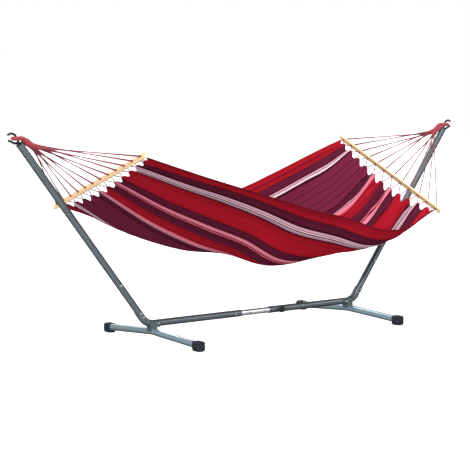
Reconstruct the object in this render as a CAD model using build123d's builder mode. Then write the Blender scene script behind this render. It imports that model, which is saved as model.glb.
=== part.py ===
from build123d import *
from math import cos, hypot, radians, sin, tan
import os

# A stick hammock on a free-standing steel stand. Millimetres, +Z up, floor at Z = 0.
# X runs from hook to hook, -Y is the near side. The origin is on the floor, in the middle.

os.makedirs("parts", exist_ok=True)

# ------------------------------------------------------------------ driving sizes
# Stand tubes
tube_d = 38.0
tube_wall = 1.5
bend_x = 720.0  # where the base and post centre lines cross, from the middle
base_z = 97.0
bend_radius = 90.0
post_lean = 36.8  # degrees from upright
riser_length = 320.0  # from the crossing up to the end of the bent tube
post_length = 1228.0  # from the crossing up to the top of the post
spigot_length = 100.0
spigot_fit = 0.3
post_bolt_back = 43.0  # from the end of the bent tube down to the bolt through the joint

# Sliding middle of the base
inner_wall = 1.5
inner_exposed = 196.0
inner_engaged = 200.0  # length of inner tube inside each half of the base
bush_length = 30.0
bush_wall = 1.2
bush_fit = 0.3  # all round, between the bush and the inner tube
end_cap = 3.0  # flange of the plugs in the inner tube's ends
end_cap_depth = 12.0
adjust_pitch = 100.0
adjust_holes = (-1, 0, 1, 2, 4)  # in pitches from the button
button_x = -139.0
button_d = 8.0
button_proud = 2.5
button_rim = 1.5  # width and thickness of the flange that keeps the button in
leaf = 1.0  # thickness of the button's leaf spring
leaf_flat = 14.0
leaf_bend_x = 48.0  # from the button to the fold of the spring
leaf_gap = 1.3  # between the spring and the inner tube's bore
knob_x = 168.0
knob_d = 37.0
knob_length = 16.0
knob_roof = 4.0
knob_gap = 3.0
lobe_r = 5.5
lobes = 6
stud_d = 8.0
boss_d = 18.0
boss_length = 8.0
stud_gap = 0.3  # the tightened stud stops just short of the inner tube
hole_fit = 0.3
thread_fit = 0.05

# Feet
foot_d = 38.0
foot_wall = 1.5
foot_back = 34.0  # from the crossing back to the foot's centre line
foot_reach = 462.0  # from the middle to the outer face of a cap
foot_bend_radius = 250.0
cap_wall = 6.0
cap_sole = 10.0
cap_length = 50.0
cap_floor = 6.0  # closed end of the cap
cap_corner = 14.0
cap_edge = 5.0
saddle_sheet = 3.0
saddle_fit = 0.2
saddle_cheek = 12.0
saddle_base_length = 80.0  # from the crossing, back along the base
saddle_post_length = 92.0  # from the crossing, up the post
saddle_bolts_up = (52.0, 78.0)  # from the crossing
saddle_bolt_back = 62.0
weld_gap = 0.8
weld_block = 40.0
bolt_d = 6.0
bolt_head_d = 12.0
bolt_head_h = 4.0
nut_flats = 10.0
nut_h = 5.0
bolt_tail = 2.0

# Hooks
hook_d = 11.0
hook_stem = (20.0, 6.7)  # down into the post and up out of it
hook_route = [(12, 28), (26, 50), (46, 57), (63, 50)]  # out and up from the post's top
hook_radii = [18, 16, 16, 14]
prong_root = 12.2  # along the post from its top
prong_route = [(24, 4), (59, 20)]
prong_radius = 16.0
plug_flange = 4.0
plug_length = 30.0
plug_fit = 0.1
plug_edge = 1.5

# Hammock
loop_d = 20.0
loop_side_fit = 4.0  # between the loop's legs and the hook
loop_x = 34.0  # loop's outer end, out from the post's top
loop_z = 30.0  # and up from it
loop_neck = -2.0  # where the loop's two legs start to close, out from the post's top
loop_tuck = (16.0, 6.0)  # how far the legs then run back and in
wrap_back = 10.0  # from where the legs start to close to the whipping's mouth
wrap_length = 62.0
wrap_drop = 36.0
wrap_d = 30.0
wrap_mouth = (50.0, 26.0)
knot_d = 33.0
fork_cover = 0.9  # whipping round the cords in a branch
fork_root = 8.0  # overlap of a branch and the knot
fork_length = 55.0
cord_d = 5.0
cord_gap = 0.5
bar_width = 38.0
bar_thickness = 11.0  # drilled through
bar_corner = 8.0
bar_edge = 2.5
bar_holes = 12
bar_pitch = 82.0
bar_end = 36.0  # from the last hole to the end of the bar
hole_slack = 1.5
bar_in = {"left": 452.6, "right": 442.6}  # from the post's top in to the bar's centre
bar_down = {"left": 239.3, "right": 276.3}  # and down to it from the hook loop
bar_roll = {"left": -18.2, "right": 25.1}  # degrees about X; the near end is high on the left
cloth_gap = 27.0  # from a bar's centre line to the cloth's corners
cloth_scoop = 31.0  # how much further off the middle of the cloth's end is
cloth_pull = 17.0  # degrees below level at which the cloth leaves the bars
cloth_margin = 10.0  # cloth beyond the last hole
cloth_thickness = 3.0
cloth_clear = 1.5
# Cross-sections of the hanging cloth: share of its length, how far the near and far edges
# come in and drop from the straight lines between its corners, sag, and lean of the sag.
cloth_sections = [
    (0.00, 0, 0, 0, 0, 0, 1.4),
    (0.16, -3, 35, 40, 142, 99, 1.3),
    (0.30, 6, 76, 68, 174, 177, 1.2),
    (0.43, 23, 120, 91, 145, 252, 0.9),
    (0.56, 41, 155, 115, 113, 350, 0.75),
    (0.69, 43, 156, 126, 66, 370, 0.5),
    (0.80, 31, 125, 156, 31, 302, 0.1),
    (0.90, 17, 68, 125, 11, 186, -0.35),
    (1.00, 0, 0, 0, 0, 0, -0.7),
]
cloth_roundness = 2.2
cloth_bays = 28  # ruled bays that the solid is made of, end to end
cloth_points = 13

# ------------------------------------------------------------------ worked-out sizes
tube_r = tube_d / 2
bore_r = tube_r - tube_wall
inner_r = bore_r - bush_wall - bush_fit
inner_bore_r = inner_r - inner_wall
lean = radians(post_lean)
post_top_x = bend_x + post_length * sin(lean)
post_top_z = base_z + post_length * cos(lean)
saddle_r = tube_r + saddle_fit
saddle_outer = saddle_r + saddle_sheet
foot_r = foot_d / 2
foot_x = bend_x - foot_back
foot_end_z = foot_r + cap_sole
cap_width = foot_d + 2 * cap_wall
cap_height = foot_end_z + foot_r + cap_wall
foot_z = base_z - saddle_outer - weld_gap - foot_r
foot_tube_end = foot_reach - cap_floor
swing_z = post_top_z + loop_z
split_x = post_top_x + loop_neck - wrap_length
split_z = swing_z - wrap_drop
sides = {"left": -1, "right": 1}
near_and_far = {"near": -1, "far": 1}
post_bolt_at = riser_length - post_bolt_back
loop_half = hook_d / 2 + loop_d / 2 + loop_side_fit
cord_pitch = cord_d + cord_gap
fork_r = hypot(cord_pitch, 1.5 * cord_pitch) + cord_d / 2 + fork_cover
bight_half = 1.5 * cord_d
bend_share = 0.45  # tangent length of a cord's bend, as a share of the shorter run beside it
bar_hole_d = 2 * cord_d + cord_gap + hole_slack
hole_span = (bar_holes - 1) * bar_pitch
bar_length = hole_span + 2 * bar_end
cloth_end_width = hole_span + 2 * cloth_margin


# ------------------------------------------------------------------ helpers
def save(part, name):
    """Label a finished sub-part and write it."""
    part.label = name
    export_step(part, f"parts/{name}.step")


def up_post(sign, distance):
    """Point on a post's centre line, measured from where it crosses the base's."""
    return Vector(sign * (bend_x + distance * sin(lean)), 0, base_z + distance * cos(lean))


def off_post_top(sign, out, up):
    """Point outwards and upwards from the middle of a post's top."""
    return Vector(sign * (post_top_x + out), 0, post_top_z + up)


def post_plane(sign, distance):
    """Plane square to a post, facing up it, with its local Y in the plane of the stand."""
    direction = Vector(sign * sin(lean), 0, cos(lean))
    return Plane(origin=up_post(sign, distance), x_dir=(0, 1, 0), z_dir=direction)


def stand_path(sign, base_from, post_to):
    """Centre line along the base, round the bend and up the post."""
    corners = [(sign * base_from, 0, base_z), (sign * bend_x, 0, base_z), up_post(sign, post_to)]
    return FilletPolyline(*corners, radius=bend_radius)


def foot_path(half_length):
    """Centre line of a foot tube, highest in the middle."""
    slope = (foot_z - foot_end_z) / foot_tube_end
    end_z = foot_z - slope * half_length
    return [(0, -half_length, end_z), (0, 0, foot_z), (0, half_length, end_z)]


def cross_bolts(sign):
    """Centres of the bolts that run through a saddle along Y."""
    back = Vector(sign * (bend_x - saddle_bolt_back), 0, base_z)
    return [back] + [up_post(sign, s) for s in saddle_bolts_up]


def bolt_plane(centre):
    """Plane through a bolt's centre, facing the near side."""
    return Plane(origin=centre, x_dir=(1, 0, 0), z_dir=(0, -1, 0))


def bar_frame(side):
    """Centre of a spreader bar, its length, width and thickness directions."""
    sign = sides[side]
    roll = radians(bar_roll[side])
    centre = Vector(sign * (post_top_x - bar_in[side]), 0, swing_z - bar_down[side])
    along = Vector(0, cos(roll), sin(roll))
    pull = centre - Vector(sign * split_x, 0, split_z)
    across = (pull - along * pull.dot(along)).normalized()
    return centre, along, across, along.cross(across)


def cloth_end(side):
    """Middle of the straight line between the cloth's two corners at one end."""
    centre, along, across, normal = bar_frame(side)
    pull = radians(cloth_pull)
    return centre + Vector(-sides[side] * cos(pull), 0, -sin(pull)) * cloth_gap


def hole_places():
    """Places of the holes along a bar, from the near end."""
    return [(i - (bar_holes - 1) / 2) * bar_pitch for i in range(bar_holes)]


def fork_end(side, branch):
    """End of one branch of the wrapped cords, the direction it points, and its cross directions."""
    centre, along, across, normal = bar_frame(side)
    split = Vector(sides[side] * split_x, 0, split_z)
    half = hole_places()[: bar_holes // 2] if branch == "near" else hole_places()[bar_holes // 2 :]
    target = centre + along * (sum(half) / len(half))
    ahead = (target - split).normalized()
    level = (along - ahead * along.dot(ahead)).normalized()
    return split + ahead * fork_length, ahead, level, level.cross(ahead)


def cord_start(side, hole, layer):
    """Where a cord to a hole comes out of its branch; layer is -1 or 1."""
    branch = "near" if hole < bar_holes // 2 else "far"
    end, ahead, level, upward = fork_end(side, branch)
    place = hole % (bar_holes // 2)
    column = place // 2 - (bar_holes // 4 - 1) / 2
    row = (place % 2) * 2 + (layer + 1) / 2 - 1.5
    return end - ahead * cord_d + level * (column * cord_pitch) - upward * (row * cord_pitch)


def cord_in_hole(side, hole, layer):
    """The two mouths of a hole, at the level of one of the two cords in it."""
    centre, along, across, normal = bar_frame(side)
    middle = centre + along * hole_places()[hole] + normal * (layer * cord_pitch / 2)
    return middle - across * (bar_thickness / 2), middle + across * (bar_thickness / 2)


def cord_tube(corners):
    """A tight cord through its corners, with bends as large as the holes' depth allows."""
    radii = []
    for i in range(1, len(corners) - 1):
        turn = (corners[i] - corners[i - 1]).get_angle(corners[i + 1] - corners[i])
        shorter = min((corners[i] - corners[i - 1]).length, (corners[i + 1] - corners[i]).length)
        radii.append(bend_share * shorter / tan(radians(turn) / 2))
    with BuildPart() as tube:
        with BuildLine():
            path = FilletPolyline(*corners, radius=radii)
        with BuildSketch(Plane(origin=path @ 0, z_dir=path % 0)):
            Circle(cord_d / 2)
        sweep(path=path)
    return tube.part


def section_slope(i):
    """Rate of change of every value of a listed cross-section along the cloth."""
    before = cloth_sections[max(0, i - 1)]
    after = cloth_sections[min(len(cloth_sections) - 1, i + 1)]
    return [(b - a) / (after[0] - before[0]) for a, b in zip(before, after)]


def cloth_section(share):
    """Cross-section values at any share of the cloth's length, eased between the listed ones."""
    i = max(k for k in range(len(cloth_sections) - 1) if cloth_sections[k][0] <= share)
    first, last = cloth_sections[i], cloth_sections[i + 1]
    span = last[0] - first[0]
    u = (share - first[0]) / span
    leave, arrive = section_slope(i), section_slope(i + 1)
    return [
        a * (1 + 2 * u) * (1 - u) ** 2
        + m * span * u * (1 - u) ** 2
        + b * u * u * (3 - 2 * u)
        - n * span * u * u * (1 - u)
        for a, m, b, n in zip(first, leave, last, arrive)
    ]


def cloth_point(share, t):
    """Point of the cloth's middle surface: share along it from the left, t across from the near edge."""
    _, near_in, far_in, near_drop, far_drop, sag, tilt = cloth_section(share)
    ends = []
    for side in sides:
        half = bar_frame(side)[1] * (cloth_end_width / 2)
        ends.append((cloth_end(side) - half, cloth_end(side) + half))
    near = ends[0][0] * (1 - share) + ends[1][0] * share + Vector(0, near_in, -near_drop)
    far = ends[0][1] * (1 - share) + ends[1][1] * share + Vector(0, -far_in, -far_drop)
    s = 2 * t - 1
    depth = sag * (1 - abs(s) ** cloth_roundness) * (1 + tilt * s)
    return near * (1 - t) + far * t - Vector(0, 0, depth)


def cloth_profile(share, count):
    """Middle-surface points and normals across the cloth at one cross-section."""
    rows = []
    for i in range(count):
        t = i / (count - 1)
        run = (cloth_point(share, min(1, t + 0.001)) - cloth_point(share, max(0, t - 0.001))).normalized()
        rows.append((cloth_point(share, t), Vector(0, -run.Z, run.Y)))
    return rows


def cloth_rim(side, place):
    """Point of the cloth's scooped end, at a place along the bar measured from its middle."""
    scoop = cloth_scoop * (1 - (2 * place / cloth_end_width) ** 2)
    length = cloth_end("right").X - cloth_end("left").X
    share = scoop / length if side == "left" else 1 - scoop / length
    return cloth_point(share, place / cloth_end_width + 0.5)


# ------------------------------------------------------------------ stand, both sides
foot_corners = foot_path(foot_tube_end)
spigot_r = bore_r - spigot_fit

for side, sign in sides.items():
    # Bent tube: half of the base, the bend and the foot of the post
    with BuildPart() as elbow_tube:
        with BuildLine():
            path = stand_path(sign, inner_exposed / 2, riser_length)
        with BuildSketch(Plane(origin=path @ 0, x_dir=(0, 1, 0), z_dir=(sign, 0, 0))):
            Circle(tube_r)
            Circle(bore_r, mode=Mode.SUBTRACT)
        sweep(path=path)
        for centre in cross_bolts(sign) + [up_post(sign, post_bolt_at)]:
            with BuildSketch(bolt_plane(centre)):
                Circle(bolt_d / 2 + hole_fit)
            extrude(amount=tube_d, both=True, mode=Mode.SUBTRACT)
        if side == "left":
            with BuildSketch(bolt_plane((button_x, 0, base_z))):
                Circle(button_d / 2 + hole_fit)
            extrude(amount=tube_d, mode=Mode.SUBTRACT)
        else:
            with BuildSketch(bolt_plane((knob_x, 0, base_z))):
                Circle(stud_d / 2 + hole_fit)
            extrude(amount=tube_d, mode=Mode.SUBTRACT)
    save(elbow_tube.part, f"elbow_tube_{side}")

    # Upper post, with a narrowed spigot that plugs into the bent tube
    with BuildPart() as post_tube:
        with BuildSketch(post_plane(sign, riser_length)):
            Circle(tube_r)
            Circle(bore_r, mode=Mode.SUBTRACT)
        extrude(amount=post_length - riser_length)
        with BuildSketch(post_plane(sign, riser_length - spigot_length)):
            Circle(spigot_r)
            Circle(spigot_r - tube_wall, mode=Mode.SUBTRACT)
        extrude(amount=spigot_length)
        with BuildSketch(post_plane(sign, riser_length)):
            Circle(bore_r + tube_wall / 2)
            Circle(spigot_r - tube_wall, mode=Mode.SUBTRACT)
        extrude(amount=tube_wall * 2)
        with BuildSketch(bolt_plane(up_post(sign, post_bolt_at))):
            Circle(bolt_d / 2 + hole_fit)
        extrude(amount=tube_d, both=True, mode=Mode.SUBTRACT)
    save(post_tube.part, f"post_tube_{side}")

    # Foot: one tube, bent in the middle so that it stands on its two ends
    foot_line = [(sign * foot_x, y, z) for _, y, z in foot_corners]
    with BuildPart(mode=Mode.PRIVATE) as foot_core:
        with BuildLine():
            path = FilletPolyline(*foot_line, radius=foot_bend_radius)
        with BuildSketch(Plane(origin=path @ 0, z_dir=path % 0)):
            Circle(foot_r)
        sweep(path=path)
    with BuildPart() as foot_tube:
        with BuildLine():
            path = FilletPolyline(*foot_line, radius=foot_bend_radius)
        with BuildSketch(Plane(origin=path @ 0, z_dir=path % 0)):
            Circle(foot_r)
            Circle(foot_r - foot_wall, mode=Mode.SUBTRACT)
        sweep(path=path)
    save(foot_tube.part, f"foot_tube_{side}")

    # Saddle: a U channel under the bend, on a block welded to the foot tube
    with BuildPart() as foot_saddle:
        with BuildSketch(Plane.XY.offset(foot_z)):
            with Locations((sign * foot_x, 0)):
                Rectangle(weld_block, 2 * saddle_outer)
        extrude(amount=base_z - foot_z)
        add(foot_core.part, mode=Mode.SUBTRACT)
        with BuildSketch(Plane(origin=(0, 0, base_z), x_dir=(0, 1, 0), z_dir=(1, 0, 0))):
            Circle(saddle_r)
        extrude(amount=bend_x, both=True, mode=Mode.SUBTRACT)
        with BuildLine():
            path = stand_path(sign, bend_x - saddle_base_length, saddle_post_length)
        with BuildSketch(Plane(origin=path @ 0, x_dir=(0, sign, 0), z_dir=(sign, 0, 0))):
            Circle(saddle_outer)
            with Locations((0, saddle_outer)):
                Rectangle(2 * saddle_outer, 2 * saddle_outer, mode=Mode.SUBTRACT)
            with Locations((0, saddle_cheek / 2)):
                Rectangle(2 * saddle_outer, saddle_cheek)
            Circle(saddle_r, mode=Mode.SUBTRACT)
            with Locations((0, saddle_cheek)):
                Rectangle(2 * saddle_r, 2 * saddle_cheek, mode=Mode.SUBTRACT)
        sweep(path=path)
        for centre in cross_bolts(sign):
            with BuildSketch(bolt_plane(centre)):
                Circle(bolt_d / 2 + hole_fit)
            extrude(amount=tube_d, both=True, mode=Mode.SUBTRACT)
    save(foot_saddle.part, f"foot_saddle_{side}")

    # Rubber caps, flat underneath
    for end, way in near_and_far.items():
        mouth = way * (foot_reach - cap_length)
        with BuildPart() as foot_cap:
            middle = (sign * foot_x, mouth, cap_height / 2)
            with BuildSketch(Plane(origin=middle, x_dir=(1, 0, 0), z_dir=(0, way, 0))):
                RectangleRounded(cap_width, cap_height, cap_corner)
            extrude(amount=cap_length)
            fillet(foot_cap.faces().sort_by(Axis.Y)[-1 if way > 0 else 0].edges(), radius=cap_edge)
            add(foot_core.part, mode=Mode.SUBTRACT)
        save(foot_cap.part, f"foot_cap_{side}_{end}")

    # Bolts and nuts of the saddle, and of the joint half way up
    groups = {
        f"saddle_bolts_{side}": (cross_bolts(sign), saddle_outer),
        f"post_bolt_{side}": ([up_post(sign, post_bolt_at)], tube_r),
    }
    for name, (centres, seat) in groups.items():
        with BuildPart() as bolts:
            for centre in centres:
                tail = seat + nut_h + bolt_tail
                with BuildSketch(bolt_plane(centre).offset(-tail)):
                    Circle(bolt_d / 2)
                extrude(amount=tail + seat)
                with BuildSketch(bolt_plane(centre).offset(seat)):
                    Circle(bolt_head_d / 2)
                extrude(amount=bolt_head_h, taper=20)
        save(bolts.part, name)
        with BuildPart() as nuts:
            for centre in centres:
                with BuildSketch(bolt_plane(centre).offset(-seat)):
                    RegularPolygon(nut_flats / 2, 6, major_radius=False)
                    Circle(bolt_d / 2 + thread_fit, mode=Mode.SUBTRACT)
                extrude(amount=-nut_h)
        save(nuts.part, name.replace("bolt", "nut"))

    # Plastic plug in the top of the post
    with BuildPart() as post_plug:
        with BuildSketch(post_plane(sign, post_length - plug_length)):
            Circle(bore_r - plug_fit)
        extrude(amount=plug_length)
        with BuildSketch(post_plane(sign, post_length)):
            Circle(tube_r)
        extrude(amount=plug_flange)
        chamfer(post_plug.faces().sort_by(Axis.Z)[-1].edges(), length=plug_edge)
        with BuildSketch(post_plane(sign, post_length - plug_length)):
            Circle(hook_d / 2 + plug_fit)
        extrude(amount=plug_length + plug_flange, mode=Mode.SUBTRACT)
    save(post_plug.part, f"post_plug_{side}")

    # Hook: a bent round bar with a second prong welded under it, open outwards
    stem = [up_post(sign, post_length - hook_stem[0]), up_post(sign, post_length + hook_stem[1])]
    hook_points = stem + [off_post_top(sign, x, z) for x, z in hook_route]
    prong_points = [up_post(sign, post_length + prong_root)]
    prong_points += [off_post_top(sign, x, z) for x, z in prong_route]
    with BuildPart() as hook:
        for points, radii in ((hook_points, hook_radii), (prong_points, prong_radius)):
            with BuildLine():
                path = FilletPolyline(*points, radius=radii)
            with BuildSketch(Plane(origin=path @ 0, z_dir=path % 0)):
                Circle(hook_d / 2)
            sweep(path=path)
            with Locations(points[-1]):
                Sphere(hook_d / 2)
    save(hook.part, f"hook_{side}")

    # Plastic bush in the mouth of the base tube
    with BuildPart() as base_bush:
        mouth = (sign * inner_exposed / 2, 0, base_z)
        with BuildSketch(Plane(origin=mouth, x_dir=(0, 1, 0), z_dir=(sign, 0, 0))):
            Circle(bore_r)
            Circle(inner_r + bush_fit, mode=Mode.SUBTRACT)
        extrude(amount=bush_length)
    save(base_bush.part, f"base_bush_{side}")

# ------------------------------------------------------------------ sliding middle of the base
inner_half = inner_exposed / 2 + inner_engaged
near_hole = bolt_plane((button_x, 0, base_z))
with BuildPart() as inner_tube:
    with BuildSketch(Plane.YZ):
        with Locations((0, base_z)):
            Circle(inner_r)
            Circle(inner_bore_r, mode=Mode.SUBTRACT)
    extrude(amount=inner_half, both=True)
    for step in adjust_holes:
        with BuildSketch(bolt_plane((button_x + step * adjust_pitch, 0, base_z))):
            Circle(button_d / 2 + hole_fit)
        extrude(amount=tube_d, mode=Mode.SUBTRACT)
save(inner_tube.part, "inner_tube")

with BuildPart() as inner_plugs:
    for sign in sides.values():
        end = Plane(origin=(sign * inner_half, 0, base_z), x_dir=(0, 1, 0), z_dir=(sign, 0, 0))
        with BuildSketch(end):
            Circle(inner_r)
        extrude(amount=end_cap)
        with BuildSketch(end):
            Circle(inner_bore_r - plug_fit)
        extrude(amount=-end_cap_depth)
save(inner_plugs.part, "inner_tube_plugs")

leaf_face = inner_bore_r - leaf_gap
button_tip = tube_r + button_proud
button_base = leaf_face - button_rim
with BuildPart() as snap_button:
    with BuildSketch(near_hole.offset(button_base)):
        Circle(button_d / 2)
    extrude(amount=button_tip - button_base)
    fillet(snap_button.faces().sort_by(Axis.Y)[0].edges(), radius=1.8)
    with BuildSketch(near_hole.offset(button_base)):
        Circle(button_d / 2 + button_rim)
    extrude(amount=button_rim)
save(snap_button.part, "snap_button")

with BuildPart() as button_spring:
    with BuildSketch(Plane.XY.offset(base_z - button_d / 2)):
        with BuildLine():
            FilletPolyline(
                (button_x - leaf_flat / 2, -button_base + leaf / 2),
                (button_x + leaf_flat / 2, -button_base + leaf / 2),
                (button_x + leaf_bend_x, 0),
                (button_x + leaf_flat / 2, leaf_face - leaf / 2),
                (button_x - leaf_flat / 2, leaf_face - leaf / 2),
                radius=4 * leaf,
            )
        trace(line_width=leaf)
    extrude(amount=button_d)
save(button_spring.part, "button_spring")

knob_plane = bolt_plane((knob_x, 0, base_z))
boss_face = tube_r + boss_length
with BuildPart() as knob_boss:
    with BuildSketch(knob_plane):
        Circle(boss_d / 2)
    extrude(amount=boss_face)
    with BuildSketch(Plane.YZ.offset(knob_x - boss_d)):
        with Locations((0, base_z)):
            Circle(tube_r)
    extrude(amount=2 * boss_d, mode=Mode.SUBTRACT)
    with BuildSketch(knob_plane):
        Circle(stud_d / 2 + thread_fit)
    extrude(amount=boss_face, mode=Mode.SUBTRACT)
save(knob_boss.part, "knob_boss")

knob_seat = boss_face + knob_gap
stud_tip = inner_r + stud_gap
with BuildPart() as knob_stud:
    with BuildSketch(knob_plane.offset(stud_tip)):
        Circle(stud_d / 2)
    extrude(amount=knob_seat + knob_length - knob_roof - stud_tip)
save(knob_stud.part, "knob_stud")

with BuildPart() as star_knob:
    with BuildSketch(knob_plane.offset(knob_seat)):
        Circle(knob_d / 2 - lobe_r / 2)
        with PolarLocations(knob_d / 2 - lobe_r, lobes):
            Circle(lobe_r)
    extrude(amount=knob_length)
    fillet(star_knob.faces().sort_by(Axis.Y)[0].edges(), radius=2)
    with BuildSketch(knob_plane.offset(knob_seat)):
        Circle(stud_d / 2)
    extrude(amount=knob_length - knob_roof, mode=Mode.SUBTRACT)
save(star_knob.part, "star_knob")

# ------------------------------------------------------------------ hammock, both ends
for side, sign in sides.items():
    centre, along, across, normal = bar_frame(side)

    # Spreader bar: a flat wooden slat, drilled through its thickness
    with BuildPart() as spreader_bar:
        with BuildSketch(Plane(origin=centre, x_dir=along, z_dir=across)):
            RectangleRounded(bar_length, bar_width, bar_corner)
        extrude(amount=bar_thickness / 2, both=True)
        fillet(spreader_bar.edges().filter_by(GeomType.LINE).group_by(Edge.length)[-1], radius=bar_edge)
        with BuildSketch(Plane(origin=centre, x_dir=along, z_dir=across)):
            with GridLocations(bar_pitch, 1, bar_holes, 1):
                Circle(bar_hole_d / 2)
        extrude(amount=bar_thickness, both=True, mode=Mode.SUBTRACT)
    save(spreader_bar.part, f"spreader_bar_{side}")

    # Loop over the hook
    outer = sign * (post_top_x + loop_x)
    neck = sign * (post_top_x + loop_neck)
    back, inwards = loop_tuck
    loop_corners = [
        (neck - sign * back, inwards - loop_half, swing_z),
        (neck, -loop_half, swing_z),
        (outer, -loop_half, swing_z),
        (outer, loop_half, swing_z),
        (neck, loop_half, swing_z),
        (neck - sign * back, loop_half - inwards, swing_z),
    ]
    with BuildPart() as hook_loop:
        with BuildLine():
            path = FilletPolyline(*loop_corners, radius=[20, loop_half - 1, loop_half - 1, 20])
        with BuildSketch(Plane(origin=path @ 0, z_dir=path % 0)):
            Circle(loop_d / 2)
        sweep(path=path)
    save(hook_loop.part, f"hook_loop_{side}")

    # Whipped neck that gathers the cords, forked towards the two halves of the bar
    mouth = Vector(neck - sign * wrap_back, 0, swing_z)
    split = Vector(sign * split_x, 0, split_z)
    ahead = (split - mouth).normalized()
    with BuildPart() as cord_neck:
        with BuildSketch(Plane(origin=mouth, x_dir=(0, 1, 0), z_dir=(-sign, 0, 0))):
            Ellipse(wrap_mouth[0] / 2, wrap_mouth[1] / 2)
        with BuildSketch(Plane(origin=split, x_dir=(0, 1, 0), z_dir=ahead)):
            Circle(wrap_d / 2)
        loft()
        for branch in near_and_far:
            end, way, level, upward = fork_end(side, branch)
            with BuildSketch(Plane(origin=split - way * fork_root, z_dir=way)):
                Circle(fork_r)
            extrude(amount=fork_length + fork_root)
        with Locations(split):
            Sphere(knot_d / 2)
    save(cord_neck.part, f"cord_neck_{side}")

    # Lacing cords: neck, hole, cloth, next hole and back, with one more at each corner
    clear = Vector(sign * (cord_d / 2 + cloth_clear), 0, 0)
    cords = []
    for hole in range(bar_holes - 1):
        first_in, first_out = cord_in_hole(side, hole, 1)
        second_in, second_out = cord_in_hole(side, hole + 1, -1)
        place = (hole_places()[hole] + hole_places()[hole + 1]) / 2
        corners = [cord_start(side, hole, 1), first_in, first_out]
        corners += [cloth_rim(side, place + way * bight_half) + clear for way in (-1, 1)]
        corners += [second_out, second_in, cord_start(side, hole + 1, -1)]
        cords.append(cord_tube(corners))
    for hole, layer, way in ((0, -1, -1), (bar_holes - 1, 1, 1)):
        mouth_in, mouth_out = cord_in_hole(side, hole, layer)
        corner = cloth_rim(side, way * (cloth_end_width / 2 - cord_d)) + clear
        cords.append(cord_tube([cord_start(side, hole, layer), mouth_in, mouth_out, corner]))
    save(Compound(children=cords), f"lacing_cords_{side}")

# ------------------------------------------------------------------ cloth
with BuildPart() as cloth:
    for bay in range(cloth_bays + 1):
        rows = cloth_profile(bay / cloth_bays, cloth_points)
        x = rows[0][0].X
        half = cloth_thickness / 2
        upper = [(p.Y + n.Y * half, p.Z + n.Z * half) for p, n in rows]
        lower = [(p.Y - n.Y * half, p.Z - n.Z * half) for p, n in rows]
        with BuildSketch(Plane.YZ.offset(x)):
            with BuildLine():
                Spline(*upper)
                Line(upper[-1], lower[-1])
                Spline(*reversed(lower))
                Line(lower[0], upper[0])
            make_face()
    loft(ruled=True)
    for side, sign in sides.items():
        end = cloth_end(side)
        half = cloth_end_width / 2
        slope = bar_frame(side)[1]
        with BuildSketch(Plane(origin=(end.X, 0, end.Z), x_dir=slope, z_dir=slope.cross(Vector(sign, 0, 0)))):
            with BuildLine():
                ThreePointArc((-half, 0), (0, -cloth_scoop), (half, 0))
                Line((half, 0), (-half, 0))
            make_face()
        extrude(amount=cloth_end_width / 4, both=True, mode=Mode.SUBTRACT)
save(cloth.part, "cloth")
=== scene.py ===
from bisect import bisect
from math import cos, exp, pi, radians, sin

import bmesh
import bpy
from mathutils import Matrix, Vector
from mathutils.noise import noise


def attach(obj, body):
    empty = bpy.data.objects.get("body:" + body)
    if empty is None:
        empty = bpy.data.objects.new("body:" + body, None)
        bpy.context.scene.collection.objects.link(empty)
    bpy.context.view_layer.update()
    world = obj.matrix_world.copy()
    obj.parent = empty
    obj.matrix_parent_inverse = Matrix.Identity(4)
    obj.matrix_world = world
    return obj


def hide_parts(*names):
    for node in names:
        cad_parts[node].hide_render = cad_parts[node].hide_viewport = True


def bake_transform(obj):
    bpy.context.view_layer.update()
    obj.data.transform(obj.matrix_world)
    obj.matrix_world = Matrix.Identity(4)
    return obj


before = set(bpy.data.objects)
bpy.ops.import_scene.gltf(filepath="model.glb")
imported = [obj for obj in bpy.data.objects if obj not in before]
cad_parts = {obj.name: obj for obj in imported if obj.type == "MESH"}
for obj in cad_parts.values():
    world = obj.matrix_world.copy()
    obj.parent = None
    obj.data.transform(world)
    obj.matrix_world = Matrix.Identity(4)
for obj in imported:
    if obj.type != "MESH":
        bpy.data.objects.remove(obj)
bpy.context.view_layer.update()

# ---------------------------------------------------------------- camera
# It stands off the near left corner of the stand, a little above the hooks, looking slightly down.
camera_place = Vector((-5.174, -6.930, 1.3145))
camera_turn, camera_dip, camera_roll = radians(36.067), radians(5.185), radians(-0.866)
looking = Vector((sin(camera_turn) * cos(camera_dip), cos(camera_turn) * cos(camera_dip), -sin(camera_dip)))
level = Vector((cos(camera_turn), -sin(camera_turn), 0))
upright = level.cross(looking)
camera_right = level * cos(camera_roll) + upright * sin(camera_roll)
camera_up = upright * cos(camera_roll) - level * sin(camera_roll)
camera = bpy.data.objects.new("camera", bpy.data.cameras.new("camera"))
camera.data.sensor_width = 36
camera.data.lens = 118.8
camera.matrix_world = Matrix((camera_right, camera_up, -looking)).transposed().to_4x4()
camera.location = camera_place
bpy.context.scene.collection.objects.link(camera)
bpy.context.scene.camera = camera


# ---------------------------------------------------------------- lacing cords
# Braided cotton-and-polyester cord, 5 mm thick, thirteen at each end. Each comes out of the gathered
# neck, passes a hole in the spreader bar, goes round through the cloth's edge and back by the next hole.
class Wire:
    """A shader socket that takes Python's operators; each adds the node it needs."""

    def __init__(self, tree, socket):
        self.tree, self.socket = tree, socket

    def math(self, operation, a, b=0.0):
        return node(self.tree, "ShaderNodeMath", {"operation": operation}, {0: a, 1: b})

    def __add__(self, other):
        return self.math("ADD", self, other)

    def __sub__(self, other):
        return self.math("SUBTRACT", self, other)

    def __rsub__(self, other):
        return self.math("SUBTRACT", other, self)

    def __mul__(self, other):
        return self.math("MULTIPLY", self, other)

    def __gt__(self, other):
        return self.math("GREATER_THAN", self, other)

    __radd__ = __add__
    __rmul__ = __mul__


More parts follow.
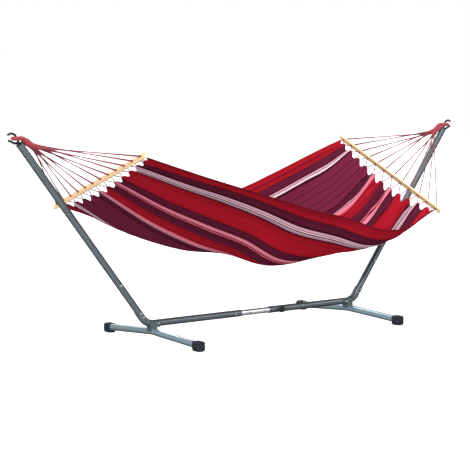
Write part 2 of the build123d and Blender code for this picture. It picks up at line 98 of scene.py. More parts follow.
def node(tree, kind, settings=None, values=None, output=0):
    """Adds a node: its settings first, then the values or links of its sockets. Gives one output."""
    made = tree.nodes.new(kind)
    for name, value in (settings or {}).items():
        if name == "stops":
            for place, colour in value[1:-1]:
                made.color_ramp.elements.new(place).color = (*colour, 1)
            for element, (place, colour) in zip((0, -1), (value[0], value[-1])):
                made.color_ramp.elements[element].position = place
                made.color_ramp.elements[element].color = (*colour, 1)
        elif name == "blend_between":
            made.color_ramp.interpolation = value
        else:
            setattr(made, name, value)
    for name, value in (values or {}).items():
        if isinstance(value, Wire):
            tree.links.new(value.socket, made.inputs[name])
        else:
            made.inputs[name].default_value = value
    return Wire(tree, made.outputs[output])


def finish_material(name, paint):
    """A material whose surface paint(tree) describes: socket values of its Principled shader."""
    material = bpy.data.materials.new(name)
    material.use_nodes = True
    tree = material.node_tree
    shader = tree.nodes["Principled BSDF"]
    for socket, value in paint(tree).items():
        if isinstance(value, Wire):
            tree.links.new(value.socket, shader.inputs[socket])
        else:
            shader.inputs[socket].default_value = value
    return material


def linear(red, green, blue):
    """A colour given in everyday 0-255 values."""
    return tuple(
        (c / 255 / 12.92) if c < 11 else ((c / 255 + 0.055) / 1.055) ** 2.4
        for c in (red, green, blue)
    )


def mix(tree, share, first, second):
    """Colour between two, by share."""
    colours = [(*c, 1) if isinstance(c, tuple) else c for c in (first, second)]
    return node(tree, "ShaderNodeMix", {"data_type": "RGBA"}, {0: share, 6: colours[0], 7: colours[1]}, 2)


def place_in(tree, scale=(1, 1, 1), turn=(0, 0, 0)):
    """The piece's own coordinates, in metres, scaled and turned."""
    own = node(tree, "ShaderNodeTexCoord", output=3)
    return node(tree, "ShaderNodeMapping", values={"Vector": own, "Scale": scale, "Rotation": turn})


def speckle(tree, vector, size, detail=3.0, roughness=0.5):
    """Noise with features of about that size, in metres."""
    values = {"Vector": vector, "Scale": 1 / size, "Detail": detail, "Roughness": roughness}
    return node(tree, "ShaderNodeTexNoise", values=values)


def bumped(tree, height, depth, strength=1.0):
    """A normal from a height of 0 to 1 that is depth metres high."""
    return node(tree, "ShaderNodeBump", values={"Height": height, "Distance": depth, "Strength": strength})


sides = {"left": -1, "right": 1}
bodies = {"left": "hammock", "right": "hammock_right"}
bar_place = {"left": Vector((-1.003, 0, 0.871)), "right": Vector((1.013, 0, 0.834))}
bar_roll = {"left": radians(-18.2), "right": radians(25.1)}
bar_thickness, hole_pitch, holes = 0.011, 0.082, 12
post_top = Vector((1.4556, 0, 1.0803))
swing_height = post_top.z + 0.030
split_x = post_top.x - 0.064
split_z = swing_height - 0.036
fork_length = 0.055
cord_d = 0.005
cord_pitch = cord_d + 0.0005
bight_half, bight_clear = 1.5 * cord_d, Vector((cord_d / 2 + 0.0015, 0, 0))
cloth_gap, cloth_pull = 0.027, radians(17)
cloth_scoop = 0.031
cloth_end_width = (holes - 1) * hole_pitch + 0.020


def bar_frame(side):
    """Centre of a spreader bar, and the directions along it, across it and out of its face."""
    along = Vector((0, cos(bar_roll[side]), sin(bar_roll[side])))
    pull = bar_place[side] - Vector((sides[side] * split_x, 0, split_z))
    across = (pull - along * pull.dot(along)).normalized()
    return bar_place[side], along, across, along.cross(across)


def cloth_end(side):
    """Middle of the straight line between the cloth's two corners at one end."""
    return bar_place[side] + Vector((-sides[side] * cos(cloth_pull), 0, -sin(cloth_pull))) * cloth_gap


hole_places = [(i - (holes - 1) / 2) * hole_pitch for i in range(holes)]


def fork_end(side, branch):
    """End of one branch of the gathered cords, and its directions."""
    centre, along, *_ = bar_frame(side)
    split = Vector((sides[side] * split_x, 0, split_z))
    half = hole_places[: holes // 2] if branch == 0 else hole_places[holes // 2 :]
    ahead = (centre + along * (sum(half) / len(half)) - split).normalized()
    level_way = (along - ahead * along.dot(ahead)).normalized()
    return split + ahead * fork_length, ahead, level_way, level_way.cross(ahead)


def cord_start(side, hole, layer):
    """Where the cord to a hole leaves its branch."""
    end, ahead, level_way, upward = fork_end(side, hole * 2 // holes)
    place = hole % (holes // 2)
    column = place // 2 - 1
    row = (place % 2) * 2 + (layer + 1) / 2 - 1.5
    return end - ahead * cord_d + level_way * (column * cord_pitch) - upward * (row * cord_pitch)


def through_hole(side, hole, layer):
    """A hole's two mouths, with a point close to each on the cord's straight runs."""
    centre, along, across, normal = bar_frame(side)
    middle = centre + along * hole_places[hole] + normal * (layer * cord_pitch / 2)
    mouth, far_mouth = middle - across * (bar_thickness / 2), middle + across * (bar_thickness / 2)
    before = mouth + (cord_start(side, hole, layer) - mouth).normalized() * bar_thickness
    return [before, mouth, far_mouth]


# Cross-sections of the hung cloth: share of the length, how far the near and far edges come in
# and drop from the straight lines between the corners, sag, and lean of the sag, in metres.
cloth_sections = [
    (0.00, 0, 0, 0, 0, 0, 1.4),
    (0.16, -0.003, 0.035, 0.040, 0.142, 0.099, 1.3),
    (0.30, 0.006, 0.076, 0.068, 0.174, 0.177, 1.2),
    (0.43, 0.023, 0.120, 0.091, 0.145, 0.252, 0.9),
    (0.56, 0.041, 0.155, 0.115, 0.113, 0.350, 0.75),
    (0.69, 0.043, 0.156, 0.126, 0.066, 0.370, 0.5),
    (0.80, 0.031, 0.125, 0.156, 0.031, 0.302, 0.1),
    (0.90, 0.017, 0.068, 0.125, 0.011, 0.186, -0.35),
    (1.00, 0, 0, 0, 0, 0, -0.7),
]
cloth_roundness = 2.2


def section_slope(i):
    """Rate of change of a listed cross-section along the cloth."""
    before, after = cloth_sections[max(0, i - 1)], cloth_sections[min(len(cloth_sections) - 1, i + 1)]
    return [(b - a) / (after[0] - before[0]) for a, b in zip(before, after)]


def cloth_section(share):
    """Cross-section at any share of the length, eased between the listed ones."""
    i = max(k for k in range(len(cloth_sections) - 1) if cloth_sections[k][0] <= share)
    first, last = cloth_sections[i], cloth_sections[i + 1]
    span = last[0] - first[0]
    u = (share - first[0]) / span
    rises = zip(first, section_slope(i), last, section_slope(i + 1))
    return [a * (1 + 2 * u) * (1 - u) ** 2 + m * span * u * (1 - u) ** 2
            + b * u * u * (3 - 2 * u) - n * span * u * u * (1 - u) for a, m, b, n in rises]


cloth_corners = {}
for side in sides:
    half_way = bar_frame(side)[1] * (cloth_end_width / 2)
    cloth_corners[side] = (cloth_end(side) - half_way, cloth_end(side) + half_way)


def cloth_point(share, t):
    """Middle surface of the smooth cloth: share along it from the left, t across it from the near edge."""
    place, near_in, far_in, near_drop, far_drop, sag, tilt = cloth_section(share)
    near = cloth_corners["left"][0].lerp(cloth_corners["right"][0], share) + Vector((0, near_in, -near_drop))
    far = cloth_corners["left"][1].lerp(cloth_corners["right"][1], share) + Vector((0, -far_in, -far_drop))
    s = 2 * t - 1
    depth = sag * (1 - abs(s) ** cloth_roundness) * (1 + tilt * s)
    return near.lerp(far, t) - Vector((0, 0, depth))


def cloth_rim(side, place):
    """Point of the cloth's scooped end, at a place along the bar measured from its middle."""
    scoop = cloth_scoop * (1 - (2 * place / cloth_end_width) ** 2)
    share = scoop / (cloth_end("right").x - cloth_end("left").x)
    return cloth_point(share if side == "left" else 1 - share, place / cloth_end_width + 0.5)


def spline_curve(name, points, radius, rings=2):
    """A round cord along a smooth NURBS line with those control points."""
    data = bpy.data.curves.new(name, "CURVE")
    data.dimensions = "3D"
    spline = data.splines.new("NURBS")
    spline.points.add(len(points) - 1)
    for point, place in zip(spline.points, points):
        point.co = (*place, 1)
        point.radius = radius
    spline.order_u = 3
    spline.use_endpoint_u = True
    spline.resolution_u = 8
    data.bevel_depth = 1 if radius else 0
    data.bevel_resolution = rings
    data.use_fill_caps = True
    cord = bpy.data.objects.new(name, data)
    bpy.context.scene.collection.objects.link(cord)
    return cord


def line_length(cord):
    """Length of a cord's own line."""
    bevel, cord.data.bevel_depth = cord.data.bevel_depth, 0
    mesh = bpy.data.meshes.new_from_object(cord)
    cord.data.bevel_depth = bevel
    ends = [[mesh.vertices[v].co for v in edge.vertices] for edge in mesh.edges]
    length = sum((first - last).length for first, last in ends)
    bpy.data.meshes.remove(mesh)
    return length


def braid(dark, light):
    """Paint of a braided cord: two tones of thread, crossing, with a dull sheen."""

    def paint(tree):
        own = place_in(tree)
        strands = speckle(tree, own, 0.0022, 2.0)
        soil = speckle(tree, own, 0.06)
        tone = mix(tree, strands * 1.6 - 0.3, linear(*dark), linear(*light))
        return {
            "Base Color": mix(tree, soil * 0.5, tone, linear(*dark)),
            "Roughness": 0.72,
            "Sheen Weight": 0.3,
            "Normal": bumped(tree, strands, 0.0006),
        }

    return paint


lacing_braid = finish_material("lacing_braid", braid((88, 10, 32), (150, 30, 58)))

for side, sign in sides.items():
    routes = []
    for hole in range(holes - 1):
        out = [cord_start(side, hole, 1), *through_hole(side, hole, 1)]
        place = (hole_places[hole] + hole_places[hole + 1]) / 2
        bight = [cloth_rim(side, place + way * bight_half) + bight_clear * sign for way in (-1, 1)]
        back = [cord_start(side, hole + 1, -1), *through_hole(side, hole + 1, -1)]
        legs = [mouth.lerp(turn, 0.3) for mouth, turn in ((out[-1], bight[0]), (back[-1], bight[1]))]
        routes.append([*out, legs[0], *bight, legs[1], *reversed(back)])
    for hole, layer, way in ((0, -1, -1), (holes - 1, 1, 1)):
        corner = cloth_rim(side, way * (cloth_end_width / 2 - cord_d)) + bight_clear * sign
        routes.append([cord_start(side, hole, layer), *through_hole(side, hole, layer), corner])
    for number, route in enumerate(routes):
        cord = spline_curve(f"lacing_cord_{side}_{number + 1}", route, cord_d / 2)
        cord.data.materials.append(lacing_braid)
        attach(cord, bodies[side])
        line_length(cord)
        if number == 0:
            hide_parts(f"lacing_cords_{side}")


# ---------------------------------------------------------------- gathered neck and hook loop
# The cords' other halves, gathered: a round loop of laid strands over the hook, a neck whipped with
# the same cord, a knot below it, and two bundles that fan out to the two halves of the bar.
def swept_bundle(name, paths, radius, corners=8):
    """One mesh of round strands, each along its own list of points."""
    shape = bmesh.new()
    for path in paths:
        rings = []
        for i, point in enumerate(path):
            ahead = (path[min(i + 1, len(path) - 1)] - path[max(i - 1, 0)]).normalized()
            if i == 0:
                first = ahead.orthogonal().normalized()
            first = (first - ahead * first.dot(ahead)).normalized()
            second = ahead.cross(first)
            turns = [2 * pi * k / corners for k in range(corners)]
            ring = [point + (first * cos(a) + second * sin(a)) * radius for a in turns]
            rings.append([shape.verts.new(place) for place in ring])
        for low, high in zip(rings, rings[1:]):
            for k in range(corners):
                shape.faces.new((low[k], low[(k + 1) % corners], high[(k + 1) % corners], high[k]))
        shape.faces.new(list(reversed(rings[0])))
        shape.faces.new(rings[-1])
    mesh = bpy.data.meshes.new(name)
    shape.to_mesh(mesh)
    shape.free()
    mesh.shade_smooth()
    piece = bpy.data.objects.new(name, mesh)
    bpy.context.scene.collection.objects.link(piece)
    return piece


def smooth_line(points, count):
    """Evenly numbered points along a smooth NURBS line."""
    guide = spline_curve("guide", points, 0)
    guide.data.splines[0].resolution_u = max(4, count // (len(points) - 2))
    mesh = bpy.data.meshes.new_from_object(guide)
    line = [v.co.copy() for v in mesh.vertices]
    bpy.data.objects.remove(guide)
    bpy.data.meshes.remove(mesh)
    return line


def wound(line, radii, turns, start_angle):
    """Points that wind about a line, at a radius that changes from one end to the other."""
    path = []
    first = None
    for i, point in enumerate(line):
        ahead = (line[min(i + 1, len(line) - 1)] - line[max(i - 1, 0)]).normalized()
        if first is None:
            first = ahead.orthogonal().normalized()
        else:
            first = (first - ahead * first.dot(ahead)).normalized()
        second = ahead.cross(first)
        share = i / (len(line) - 1)
        radius = radii[0] + (radii[1] - radii[0]) * share
        angle = start_angle + turns * 2 * pi * share
        path.append(point + (first * cos(angle) + second * sin(angle)) * radius)
    return path


loop_braid = finish_material("loop_braid", braid((96, 8, 24), (188, 32, 52)))
loop_half, loop_out, loop_neck = 0.0195, 0.034, -0.002
strand_r, whip_r, core_r = 0.0025, 0.0021, 0.0100
# The loop's strands lie in two rings: how many, how far from its middle line, and their turns along it
loop_rings, lay_turns = ((9, 0.0073), (4, 0.0030)), 2.2
# The neck's outline: share of the way from the loop to the knot, half its width and half its height
neck_outline = (
    (-0.12, 0.0190, 0.0070), (0.0, 0.0195, 0.0080), (0.35, 0.0160, 0.0095),
    (0.8, 0.0120, 0.0120), (1.0, 0.0120, 0.0120), (1.12, 0.010, 0.010),
)
neck_strands, neck_twist = 20, 1.3
branch_gather = 0.9
# Whippings: start, span, radius at each end, turns and points; the neck's as shares, a branch's in metres
neck_whip_start, neck_whip_span, neck_whip_radii, neck_whip_turns, neck_whip_points = (
    0.42, 0.64, (0.0168, 0.0142), 14, 240)
root_whip_start, root_whip_span, root_whip_radii, root_whip_turns, root_whip_points = (
    0.006, 0.022, (0.0128, 0.0120), 5, 120)

for side, sign in sides.items():
    neck = sign * (post_top.x + loop_neck)
    split = Vector((sign * split_x, 0, split_z))
    mouth = Vector((neck - sign * 0.010, 0, swing_height))
    loop_spots = [(-0.020, 0.0125, -0.003), (-0.008, 0.0165, 0), (0.006, loop_half, 0)]
    loop_spots += [(loop_out - loop_neck - 0.008, loop_half, 0), (loop_out - loop_neck, 0.009, 0)]
    loop_spots = [(x, -y, z) for x, y, z in loop_spots] + loop_spots[::-1]
    loop_route = [Vector((neck + sign * x, y, swing_height + z)) for x, y, z in loop_spots]
    line = smooth_line(loop_route, 90)
    laid = [wound(line, (ring_r, ring_r), lay_turns, k * 2 * pi / count)
            for count, ring_r in loop_rings for k in range(count)]
    loop = swept_bundle(f"loop_strands_{side}", laid, strand_r)
    loop.data.materials.append(loop_braid)
    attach(loop, bodies[side])
    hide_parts(f"hook_loop_{side}")

    # Gathered strands from the loop's legs, through the whipping, to the knot
    down = (split - mouth).normalized()
    flat = Vector((0, 1, 0))
    raised = flat.cross(down)
    strands = []
    for k in range(neck_strands):
        angle = 2 * pi * k / neck_strands
        spots = []
        for share, wide, tall in neck_outline:
            twist = angle + share * neck_twist
            spots.append(mouth.lerp(split, share) + flat * cos(twist) * wide + raised * sin(twist) * tall)
        strands.append(smooth_line(spots, 24))
    core = [smooth_line([mouth.lerp(split, s) for s in (-0.1, 0.3, 0.7, 1.1)], 12)]
    # Branches: every cord runs on from where it leaves the bar's side of the fork to the knot
    for hole in range(holes):
        for layer in (-1, 1):
            start = cord_start(side, hole, layer)
            branch_end, ahead, *_ = fork_end(side, hole * 2 // holes)
            inner = split + (start - branch_end) * branch_gather
            spots = [inner - ahead * 0.006, inner + ahead * 0.03, start - ahead * 0.02, start]
            strands.append(smooth_line(spots, 16))
    neck_piece = swept_bundle(f"neck_strands_{side}", strands, strand_r)
    neck_piece.data.materials.append(loop_braid)
    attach(neck_piece, bodies[side])
    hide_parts(f"cord_neck_{side}")
    filler = swept_bundle(f"neck_core_{side}", core, core_r, 12)
    filler.data.materials.append(loop_braid)
    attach(filler, bodies[side])

    # Whipping: close turns round the neck's lower part, and shorter ones at the root of each branch
    whips = []
    neck_line = [mouth.lerp(split, neck_whip_start + neck_whip_span * i / (neck_whip_points - 1))
                 for i in range(neck_whip_points)]
    whips.append(wound(neck_line, neck_whip_radii, neck_whip_turns, 0))
    for branch in (0, 1):
        ahead = fork_end(side, branch)[1]
        root = [split + ahead * (root_whip_start + root_whip_span * i / (root_whip_points - 1))
                for i in range(root_whip_points)]
        whips.append(wound(root, root_whip_radii, root_whip_turns, branch * 1.5))
    whipping = swept_bundle(f"neck_whipping_{side}", whips, whip_r, 6)
    whipping.data.materials.append(loop_braid)
    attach(whipping, bodies[side])


# ---------------------------------------------------------------- cloth
# One length of woven striped cotton, 0.9 mm thick, hung by its ends. Cords pull each end into
# thirteen points with scallops between them; the long edges are turned over and sewn.
scallops = 12
scallop_depth = 0.019
cloth_rows, cloth_columns = 240, 18 * scallops
cloth_thickness = 0.0009
width_steps = 64
tips = [0, *(place + cloth_end_width / 2 - hole_pitch / 2 for place in hole_places[1:]), cloth_end_width]
tip_half = 0.018
# Creases: depth of the hollows between the points, of the folds drawn from them, and of long and fine folds
hollow_depth, drawn_depth, long_depth, fine_depth = 0.0085, 0.005, 0.0035, 0.0012
hollow_reach, drawn_reach = 0.17, 0.42


def scallop(t):
    """0 at a point of the cloth's end, 1 in the middle of a scallop. The two outer ones are shallower."""
    place = t * cloth_end_width
    k = min(max(sum(tip <= place for tip in tips) - 1, 0), len(tips) - 2)
    gap = tips[k + 1] - tips[k]
    off = max(0, min(place - tips[k], tips[k + 1] - place) - tip_half) / (gap / 2 - tip_half)
    return sin(pi / 2 * min(off, 1)) ** 0.8 * min(1, gap / hole_pitch)


def crease(share, t, length):
    """Height of the cloth's creases out of its smooth surface."""
    from_left, from_right = share * length, (1 - share) * length
    height = 0
    for reach, phase in ((from_left, 0.0), (from_right, 0.6)):
        fan = exp(-reach / hollow_reach)
        height -= hollow_depth * scallop(t) * fan * (1 - exp(-(reach + 0.02) / 0.03))
        drawn = noise(Vector((t * 26 + phase * 9, reach * 1.1, phase)))
        height += drawn_depth * drawn * exp(-reach / drawn_reach)
    long_folds = noise(Vector((t * 15 - share * 1.5, share * 1.4, 3.7)))
    fine_folds = noise(Vector((t * 42 + share * 3.0, share * 3.2, 8.1)))
    middle = sin(pi * share) ** 0.5
    return height + long_depth * long_folds * middle + fine_depth * fine_folds


def cloth_surface(share, t):
    """A point of the creased, scalloped cloth."""
    length = cloth_corners["right"][0].x - cloth_corners["left"][0].x
    cut = (scallop_depth * scallop(t) + cloth_scoop * (1 - (2 * t - 1) ** 2)) / length
    share = cut + share * (1 - 2 * cut)
    step = 0.002
    low, high = max(0, share - step), min(1, share + step)
    down_run = cloth_point(high, t) - cloth_point(low, t)
    cross_run = cloth_point(share, min(1, t + step)) - cloth_point(share, max(0, t - step))
    out = down_run.cross(cross_run).normalized()
    return cloth_point(share, t) + out * crease(share, t, length)


def across_lengths(share):
    """Length of cloth from the near edge to evenly placed points across it, as shares of its width."""
    spots = [cloth_point(share, k / width_steps) for k in range(width_steps + 1)]
    lengths = [0]
    for first, last in zip(spots, spots[1:]):
        lengths.append(lengths[-1] + (last - first).length)
    return [reach / lengths[-1] for reach in lengths]


def sheet_mesh(name, shares, crossings):
    """A grid of the cloth's surface, with its run and its crossing kept as UVs."""
    mesh = bpy.data.meshes.new(name)
    points = []
    for share in shares:
        lengths = across_lengths(share)
        for crossing in crossings:
            k = min(bisect(lengths, crossing), width_steps) - 1
            t = (k + (crossing - lengths[k]) / (lengths[k + 1] - lengths[k])) / width_steps
            points.append(cloth_surface(share, min(t, 1)))
    across = len(crossings)
    faces = [(i * across + j, (i + 1) * across + j, (i + 1) * across + j + 1, i * across + j + 1)
             for i in range(len(shares) - 1) for j in range(across - 1)]
    mesh.from_pydata(points, [], faces)
    uvs = mesh.uv_layers.new(name="cut")
    for loop in mesh.loops:
        i, j = divmod(loop.vertex_index, across)
        uvs.data[loop.index].uv = (shares[i], crossings[j])
    mesh.shade_smooth()
    piece = bpy.data.objects.new(name, mesh)
    bpy.context.scene.collection.objects.link(piece)
    return piece


def thicken(piece, thickness):
    """Gives a sheet its thickness, and applies it."""
    solid = piece.modifiers.new("thickness", "SOLIDIFY")
    solid.thickness = thickness
    solid.offset = 0
    applied = bpy.data.meshes.new_from_object(piece.evaluated_get(bpy.context.evaluated_depsgraph_get()))
    piece.modifiers.clear()
    piece.data = applied


red, bright_red, dark_red = linear(152, 12, 28), linear(168, 16, 34), linear(104, 8, 24)
purple, maroon, deep_maroon = linear(86, 20, 46), linear(80, 16, 38), linear(48, 6, 20)
pink, salmon = linear(232, 128, 152), linear(222, 100, 116)
pale_pink, near_white = linear(222, 170, 190), linear(238, 205, 214)
wine = linear(108, 28, 56)
# Stripes across the cloth: where each starts, as a share of the width from the near edge, and its colour
stripes = [
    (0.000, dark_red), (0.006, red), (0.040, bright_red), (0.078, dark_red), (0.084, maroon), (0.100, purple),
    (0.132, deep_maroon), (0.148, pale_pink), (0.163, deep_maroon), (0.167, near_white), (0.174, maroon),
    (0.180, near_white), (0.187, deep_maroon), (0.191, pale_pink), (0.195, deep_maroon), (0.201, dark_red),
    (0.208, red), (0.250, bright_red), (0.325, red), (0.340, deep_maroon), (0.348, purple), (0.372, maroon),
    (0.392, deep_maroon), (0.397, pink), (0.421, deep_maroon), (0.426, salmon), (0.434, deep_maroon),
    (0.440, maroon),
    (0.470, purple), (0.494, dark_red), (0.502, red), (0.520, dark_red), (0.525, bright_red),
    (0.544, dark_red), (0.549, red), (0.560, dark_red), (0.566, salmon), (0.576, pink), (0.588, deep_maroon),
    (0.592, pale_pink), (0.596, maroon), (0.632, deep_maroon), (0.637, wine), (0.672, deep_maroon),
    (0.677, wine), (0.712, deep_maroon), (0.717, wine), (0.756, deep_maroon), (0.761, wine),
    (0.800, deep_maroon), (0.804, wine), (0.850, deep_maroon),
    (0.866, near_white), (0.876, deep_maroon), (0.880, pale_pink), (0.887, maroon), (0.900, purple),
    (0.930, deep_maroon), (0.936, red), (0.960, dark_red), (0.965, bright_red), (0.994, dark_red),
]
stripes_split = 30


def cloth_paint(tree):
    """Striped cotton: threads along and across, slightly uneven dye, darker where the stripes meet."""
    cut = node(tree, "ShaderNodeUVMap", {"uv_map": "cut"})
    crossing = node(tree, "ShaderNodeSeparateXYZ", values={0: cut}, output=1)
    along_threads = node(tree, "ShaderNodeMapping", values={"Vector": cut, "Scale": (9, 900, 1)})
    slub = speckle(tree, along_threads, 1.0, 2.0)
    halves = []
    for low, high in ((0, stripes_split), (stripes_split, len(stripes))):
        held = stripes[low:high]
        settings = {"stops": held, "blend_between": "CONSTANT"}
        halves.append(node(tree, "ShaderNodeValToRGB", settings, {"Fac": crossing}))
    stripe = mix(tree, crossing > stripes[stripes_split][0], halves[0], halves[1])
    warp = node(tree, "ShaderNodeTexWave", {"wave_type": "BANDS", "bands_direction": "Y"},
                {"Vector": cut, "Scale": 110.0, "Distortion": 0.6, "Detail": 1.0})
    weft = node(tree, "ShaderNodeTexWave", {"wave_type": "BANDS", "bands_direction": "X"},
                {"Vector": cut, "Scale": 260.0, "Distortion": 0.6, "Detail": 1.0})
    fade = speckle(tree, place_in(tree), 0.22, 4.0)
    weave = warp * 0.5 + weft * 0.5
    dyed = mix(tree, slub * 0.30 + weave * 0.10 + fade * 0.12, stripe, deep_maroon)
    return {
        "Base Color": dyed,
        "Roughness": 0.82 + (slub - 0.5) * 0.1,
        "Specular IOR Level": 0.07,
        "Normal": bumped(tree, weave * 0.4 + slub * 0.6, 0.0005),
    }


striped_cotton = finish_material("striped_cotton", cloth_paint)
even_rows = [i / cloth_rows for i in range(cloth_rows + 1)]
even_columns = [j / cloth_columns for j in range(cloth_columns + 1)]
cloth = sheet_mesh("cloth_sheet", even_rows, even_columns)
thicken(cloth, cloth_thickness)
cloth.data.materials.append(striped_cotton)
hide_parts("cloth")

# Turned-over hems along the two long edges
hem_share, hem_height = 0.016, 0.0011
hem_paint = finish_material("hem_cotton", lambda tree: {
    "Base Color": mix(tree, speckle(tree, place_in(tree), 0.004) * 0.8, dark_red, deep_maroon),
    "Roughness": 0.85,
    "Sheen Weight": 0.2,
    "Normal": bumped(tree, speckle(tree, place_in(tree), 0.0012), 0.0004),
})
hems = []
for edge, low, high in (("near", 0.0, hem_share), ("far", 1 - hem_share, 1.0)):
    crossings = [low + (high - low) * k / 4 for k in range(5)]
    hem = sheet_mesh(f"hem_{edge}", even_rows, crossings)
    thicken(hem, cloth_thickness + 2 * hem_height)
    hem.data.materials.append(striped_cotton)
    hem.data.materials.append(hem_paint)
    hems.append(hem)
for piece in [cloth, *hems]:
    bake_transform(piece)


# ---------------------------------------------------------------- spreader bars
# Flat slats of varnished beech, 38 by 11 mm and nearly a metre long, drilled through their thickness.
def beech(roll):
    def paint(tree):
        own = place_in(tree, turn=(-roll, 0, 0))
        drawn_out = [node(tree, "ShaderNodeMapping", values={"Vector": own, "Scale": (1, along, 1)})
                     for along in (0.06, 0.08)]
        grain = speckle(tree, drawn_out[0], 0.004, 5.0)
        rings = node(tree, "ShaderNodeTexWave", {"wave_type": "BANDS", "bands_direction": "Z"},
                     {"Vector": drawn_out[1], "Scale": 38.0, "Distortion": 3.0, "Detail": 2.0})
        patch = speckle(tree, own, 0.12)
        pale = mix(tree, grain * 0.7 + rings * 0.3, linear(238, 212, 170), linear(212, 174, 124))
        return {
            "Base Color": mix(tree, patch * 0.4, pale, linear(228, 188, 150)),
            "Roughness": 0.42 + grain * 0.15,
            "Coat Weight": 0.25,
            "Coat Roughness": 0.25,
            "Normal": bumped(tree, grain, 0.0003),
        }

    return paint


def coat(nodes, material):
    """Gives CAD nodes their material."""
    for name in nodes:
        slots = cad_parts[name].data.materials
        slots.clear()
        slots.append(material)


for side in sides:
    coat([f"spreader_bar_{side}"], finish_material(f"beech_{side}", beech(bar_roll[side])))


# ---------------------------------------------------------------- painted tubes
# Steel tube with a blue-grey hammered paint: small dimples, a metallic glint, and uneven darker patches.
def hammered(dark, light, gloss):
    def paint(tree):
        own = place_in(tree)
        dimples = node(tree, "ShaderNodeTexVoronoi", {"feature": "SMOOTH_F1"},
                       {"Vector": own, "Scale": 330.0})
        cloud = speckle(tree, own, 0.05)
        flakes = speckle(tree, own, 0.0015, 2.0)
        tone = mix(tree, dimples * 0.8 + flakes * 0.3, linear(*light), linear(*dark))
        return {
            "Base Color": mix(tree, cloud * 0.35, tone, linear(*dark)),
            "Metallic": 0.65,
            "Roughness": gloss + flakes * 0.12,
            "Coat Weight": 0.5,
            "Coat Roughness": 0.18,
            "Normal": bumped(tree, dimples, 0.0003, 0.6),
        }

    return paint


post_paint = finish_material("hammered_paint", hammered((44, 54, 58), (104, 118, 124), 0.27))
foot_paint = finish_material("light_hammered_paint", hammered((92, 116, 128), (166, 190, 200), 0.25))
saddle_paint = finish_material("saddle_paint", hammered((44, 54, 58), (104, 118, 124), 0.3))
for side in sides:
    coat([f"elbow_tube_{side}", f"post_tube_{side}"], post_paint)
    coat([f"foot_tube_{side}"], foot_paint)
    coat([f"foot_saddle_{side}"], saddle_paint)
coat(["knob_boss"], post_paint)


# ---------------------------------------------------------------- bright steel
# Zinc-plated steel: the sliding inner tube, drawn along its length, and the bolts, nuts and button.
def drawn_steel(tree):
    own = place_in(tree, scale=(0.02, 1, 1))
    lines = speckle(tree, own, 0.0009, 3.0)
    cloud = speckle(tree, place_in(tree), 0.03)
    return {
        "Base Color": mix(tree, cloud * 0.5, linear(214, 218, 224), linear(176, 182, 190)),
        "Metallic": 0.95,
        "Roughness": 0.2 + lines * 0.16,
        "Normal": bumped(tree, lines, 0.0001),
    }


def zinc(tree):
    own = place_in(tree)
    crystals = node(tree, "ShaderNodeTexVoronoi", values={"Vector": own, "Scale": 600.0})
    return {
        "Base Color": mix(tree, crystals, linear(206, 208, 206), linear(160, 164, 166)),
        "Metallic": 0.9,
        "Roughness": 0.3 + crystals * 0.15,
        "Normal": bumped(tree, crystals, 0.0001),
    }


coat(["inner_tube"], finish_material("drawn_steel", drawn_steel))
zinc_plate = finish_material("zinc_plate", zinc)
for side in sides:
    coat([f"saddle_bolts_{side}", f"saddle_nuts_{side}", f"post_bolt_{side}", f"post_nut_{side}"], zinc_plate)
coat(["snap_button", "button_spring", "knob_stud"], zinc_plate)


# ---------------------------------------------------------------- hooks, plastics and rubber
# Hooks dipped in black plastic; moulded black plugs, bushes and star knob; blue-black rubber foot caps.
def moulded(base, worn, grain_size, gloss):
    def paint(tree):
        own = place_in(tree)
        grain = speckle(tree, own, grain_size, 2.0)
        dust = speckle(tree, own, 0.02, 4.0)
        return {
            "Base Color": mix(tree, dust * 0.5, linear(*base), linear(*worn)),
            "Roughness": gloss + grain * 0.15,
            "Specular IOR Level": 0.3,
            "Normal": bumped(tree, grain, 0.0002),
        }

    return paint


hook_coat = finish_material("dipped_hook", moulded((6, 7, 8), (16, 18, 20), 0.003, 0.25))
black_plastic = finish_material("moulded_black", moulded((8, 9, 11), (20, 22, 26), 0.0008, 0.4))
cap_rubber = finish_material("cap_rubber", moulded((4, 14, 22), (14, 32, 44), 0.0012, 0.42))
for side in sides:
    coat([f"hook_{side}"], hook_coat)
    coat([f"post_plug_{side}", f"base_bush_{side}"], black_plastic)
    coat([f"foot_cap_{side}_near", f"foot_cap_{side}_far"], cap_rubber)
coat(["inner_tube_plugs", "star_knob"], black_plastic)


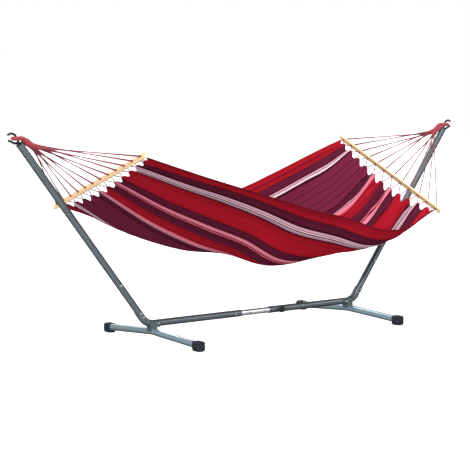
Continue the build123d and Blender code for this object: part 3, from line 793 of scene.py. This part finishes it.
# ---------------------------------------------------------------- floor and light
# A pale floor that glows a little, so that it runs off into the white surround, and that the object's
# own bounce light leaves out. Three large soft lights, and a surround that lights more from one side.
floor_half, floor_level = 30, -0.001
floor_corners = [(x * floor_half, y * floor_half, floor_level)
                 for x, y in ((-1, -1), (1, -1), (1, 1), (-1, 1))]
bright_way, surround_swing, surround_level = (-0.68, -0.66, 0.30), 1.25, 0.80
floor_mesh = bpy.data.meshes.new("floor")
floor_mesh.from_pydata(floor_corners, [], [(0, 1, 2, 3)])
floor_piece = bpy.data.objects.new("floor", floor_mesh)
bpy.context.scene.collection.objects.link(floor_piece)
floor_piece.data.materials.append(finish_material("studio_floor", lambda tree: {
    "Base Color": (0.86, 0.86, 0.86, 1), "Roughness": 0.9, "Specular IOR Level": 0.1,
    "Emission Color": (1, 1, 1, 1), "Emission Strength": 0.66}))
floor_piece.visible_diffuse = floor_piece.visible_glossy = False

world = bpy.data.worlds.new("studio")
world.use_nodes = True
sky = world.node_tree
sky.nodes["Background"].inputs["Color"].default_value = (1, 1, 1, 1)
way_seen = node(sky, "ShaderNodeTexCoord")
facing = node(sky, "ShaderNodeVectorMath", {"operation": "DOT_PRODUCT"}, {0: way_seen, 1: bright_way}, 1)
lit = node(sky, "ShaderNodeClamp",
           values={"Value": facing * surround_swing + surround_level, "Min": 0.05, "Max": 2.0})
strength = mix(sky, node(sky, "ShaderNodeLightPath"), lit, (1, 1, 1))
sky.links.new(strength.socket, sky.nodes["Background"].inputs["Strength"])
bpy.context.scene.world = world

for name, place, power, size in (
    ("key", (-3.5, -5.0, 5.5), 330, 2.2),
    ("fill", (4.5, -4.0, 3.5), 70, 3.0),
    ("rim", (1.0, 5.5, 4.5), 150, 3.0),
):
    light = bpy.data.objects.new(name, bpy.data.lights.new(name, "AREA"))
    light.data.energy = power
    light.data.size = size
    light.location = place
    light.rotation_euler = (Vector((0, 0, 0.6)) - Vector(place)).to_track_quat("-Z", "Y").to_euler()
    bpy.context.scene.collection.objects.link(light)

bpy.context.scene.view_settings.view_transform = "Standard"
